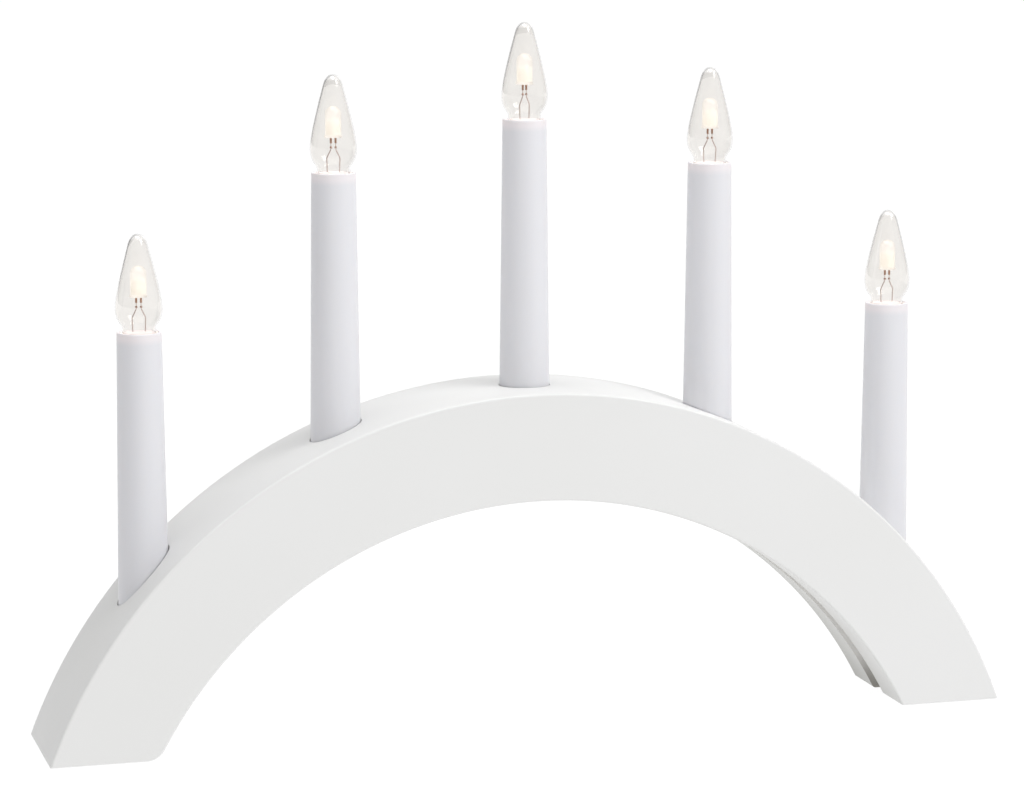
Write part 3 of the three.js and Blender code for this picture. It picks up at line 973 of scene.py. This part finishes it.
def make_lead(candle, side, kind):
    """A diode leg down to its solder bead, and the wire that spreads from there into the cap."""
    end = CAP_BOTTOM + CONTACT_DISC + SEAT_GAP
    stations = [
        (LEAD_PITCH / 2, DIODE_BASE - SLIDE_GAP, LEG_RADIUS),
        (LEAD_PITCH / 2, LEG_END + LINK_RADIUS, LEG_RADIUS),
        (LEAD_PITCH / 2, LEG_END, LINK_RADIUS),
    ]
    for i in range(BEAD_STEPS + 1):
        angle = math.pi * i / BEAD_STEPS
        height = LEAD_BEAD_HEIGHT + BEAD_RADIUS * math.cos(angle)
        stations.append((LEAD_PITCH / 2, height, max(LINK_RADIUS, BEAD_RADIUS * math.sin(angle))))
    stations.append((LEAD_PINCH / 2, LEAD_PINCH_HEIGHT, LEAD_RADIUS))
    bends = softened([
        (LEAD_PINCH / 2, LEAD_PINCH_HEIGHT),
        (LEAD_SPREAD / 2, LEAD_SPREAD_HEIGHT, LEAD_BEND),
        (LEAD_FOOT / 2, BASE_RISE, LEAD_BEND),
        (LEAD_FOOT / 2, end),
    ])
    stations += [(x, z, LEAD_RADIUS) for x, z in bends[1:]]
    path = [(side * x * math.cos(candle.turn), side * x * math.sin(candle.turn), z) for x, z, _ in stations]
    shape = sweep(path, [radius for _, _, radius in stations], WIRE_SIDES)
    candle.add(kind, shape, LEAD, candle.bulb, "lead_metal", f"bulb_{kind}_lead")


def make_cap(candle):
    root = THREAD_MEAN - THREAD_SWING
    bore = root - SHEET_WALL
    shape = lathe([
        (bore, CAP_BOTTOM),
        (lerp(bore, root, CAP_TAPER), CAP_BOTTOM),
        *thread_rows(root, THREAD_SWING),
        (root, CAP_TOP),
        (bore, CAP_TOP),
    ], SMALL_SIDES, closed=True)
    candle.add("cap", shape, NICKEL, candle.bulb, "nickel", "bulb_cap")


def make_contact(candle):
    disc = THREAD_MEAN - THREAD_SWING - SHEET_WALL - SLIDE_GAP
    shape = lathe(softened([
        (0, CONTACT_END),
        (CONTACT_TIP_RADIUS, CONTACT_END, CONTACT_TIP / 2),
        (CONTACT_TIP_RADIUS, CAP_BOTTOM),
        (disc, CAP_BOTTOM, SLIDE_GAP),
        (disc, CAP_BOTTOM + CONTACT_DISC, SLIDE_GAP),
        (0, CAP_BOTTOM + CONTACT_DISC),
    ]), SMALL_SIDES)
    candle.add("contact", shape, BRASS, candle.bulb_foot, "brass", "bulb_contact")


# Wiring: each wire drops from a terminal, bends into the groove and follows its roof


def on_line(angle, y):
    """A point on the line that the wires follow in the groove."""
    return Vector((WIRE_LINE[0] * math.sin(angle), y, WIRE_LINE[1] + WIRE_LINE[0] * math.cos(angle)))


def wire_drop(candle, side, sense, y):
    """The path from a terminal into the groove, and the angle at which it joins the wires' line."""
    x = candle.x + side * TERMINAL_X
    top = Vector((x, 0, candle.rim + TERMINAL_END - WIRE_GAP))
    mouth = Vector((x, 0, height_at(GROOVE, x)))
    angle = math.asin(x / WIRE_LINE[0]) + sense * WIRE_REACH / WIRE_LINE[0]
    joint = on_line(angle, y)
    along = Vector((sense * math.cos(angle), 0, -sense * math.sin(angle)))
    bend = bezier([mouth, mouth - Vector((0, 0, WIRE_BEND)), joint - along * WIRE_BEND, joint], CURVE_STEPS)
    return angle, [top, mouth, *bend]


def groove_run(start, end, y):
    return [on_line(lerp(start, end, i / CURVE_STEPS), y) for i in range(1, CURVE_STEPS)]


def make_wire(node, path):
    shape = sweep(path, [WIRE_RADIUS] * len(path), WIRE_SIDES)
    piece(f"{node}_run", shape, INSULATION, "bow", "wire_cover", node)


def make_wiring():
    for i, (left, right) in enumerate(zip(CANDLES, CANDLES[1:])):
        start, down = wire_drop(left, side=1, sense=1, y=0)
        end, up = wire_drop(right, side=-1, sense=-1, y=0)
        make_wire(f"link_wire_{i + 1}", down + groove_run(start, end, 0) + up[::-1])
    tail = -math.acos((WIRE_TAIL_HEIGHT - WIRE_LINE[1]) / WIRE_LINE[0])
    aside = groove_half - WIRE_RADIUS - WIRE_GAP
    ends = (("supply_wire", CANDLES[0], -1, 0), ("return_wire", CANDLES[-1], 1, aside))
    for node, candle, side, y in ends:
        start, down = wire_drop(candle, side, sense=-1, y=y)
        make_wire(node, down + groove_run(start, tail, y) + [on_line(tail, y)])


# Stage: floor, light and camera


def make_floor():
    shape = lathe([(0, -FLOOR_GAP), (FLOOR_RADIUS, -FLOOR_GAP)], SMALL_SIDES)
    floor = link("floor", shape)
    floor.data.materials.append(floor_white())


def make_world():
    """Soft light from all round, brighter from the right and the front, with a pale backdrop."""
    world = bpy.data.worlds.new("studio")
    bpy.context.scene.world = world
    world.use_nodes = True
    nodes = world.node_tree.nodes
    links = world.node_tree.links
    toward = nodes.new("ShaderNodeVectorMath")
    toward.operation = "DOT_PRODUCT"
    toward.inputs[1].default_value = SKY_TILT
    behind = nodes.new("ShaderNodeVectorMath")
    behind.operation = "DOT_PRODUCT"
    behind.inputs[1].default_value = Vector(BACKDROP_TOWARD).normalized()
    backdrop = nodes.new("ShaderNodeMapRange")
    backdrop.interpolation_type = "SMOOTHSTEP"
    backdrop.inputs["From Min"].default_value = BACKDROP_EDGE[0]
    backdrop.inputs["From Max"].default_value = BACKDROP_EDGE[1]
    backdrop.inputs["To Min"].default_value = SKY_LEVEL
    backdrop.inputs["To Max"].default_value = BACKDROP_LEVEL
    level = nodes.new("ShaderNodeMath")
    level.operation = "ADD"
    least = nodes.new("ShaderNodeMath")
    least.operation = "MAXIMUM"
    least.inputs[1].default_value = SKY_LEAST
    nodes["Background"].inputs["Color"].default_value = (1, 1, 1, 1)
    direction = nodes.new("ShaderNodeTexCoord").outputs["Generated"]
    links.new(direction, toward.inputs[0])
    links.new(direction, behind.inputs[0])
    links.new(behind.outputs["Value"], backdrop.inputs["Value"])
    links.new(toward.outputs["Value"], level.inputs[0])
    links.new(backdrop.outputs["Result"], level.inputs[1])
    links.new(level.outputs["Value"], least.inputs[0])
    links.new(least.outputs["Value"], nodes["Background"].inputs["Strength"])


def aim(made, place, along):
    """Puts a light or the camera in its place, facing along a direction."""
    made.location = place
    made.rotation_mode = "QUATERNION"
    made.rotation_quaternion = along.to_track_quat("-Z", "Y")
    bpy.context.scene.collection.objects.link(made)


def make_softbox(name, place, size, energy):
    light = bpy.data.lights.new(name, "AREA")
    light.shape = "RECTANGLE"
    light.size, light.size_y = size
    light.energy = energy
    aim(bpy.data.objects.new(name, light), place, Vector(LIGHT_TARGET) - Vector(place))


def make_camera():
    azimuth = math.radians(CAMERA_AZIMUTH)
    elevation = math.radians(CAMERA_ELEVATION)
    back = Vector((
        math.sin(azimuth) * math.cos(elevation),
        -math.cos(azimuth) * math.cos(elevation),
        math.sin(elevation),
    ))
    camera = bpy.data.cameras.new("camera")
    camera.lens = CAMERA_LENS
    camera.clip_end = CAMERA_REACH
    made = bpy.data.objects.new("camera", camera)
    aim(made, Vector(CAMERA_TARGET) + back * CAMERA_DISTANCE, -back)
    bpy.context.scene.camera = made


make_camera()
make_floor()
make_world()
make_softbox("key", place=(0.95, -0.9, 1.4), size=(0.8, 0.8), energy=9.6)
make_softbox("overhead", place=(-0.16, -0.11, 1.75), size=(1.2, 0.8), energy=15.6)
bpy.context.scene.view_settings.view_transform = "Standard"

make_bow()
for candle in CANDLES:
    make_tube(candle)
    make_holder(candle)
    make_shell(candle)
    make_tongue(candle)
    make_envelope(candle)
    make_base(candle)
    make_diode(candle)
    make_core(candle)
    make_lead(candle, side=-1, kind="anode")
    make_lead(candle, side=1, kind="cathode")
    make_cap(candle)
    make_contact(candle)
make_wiring()
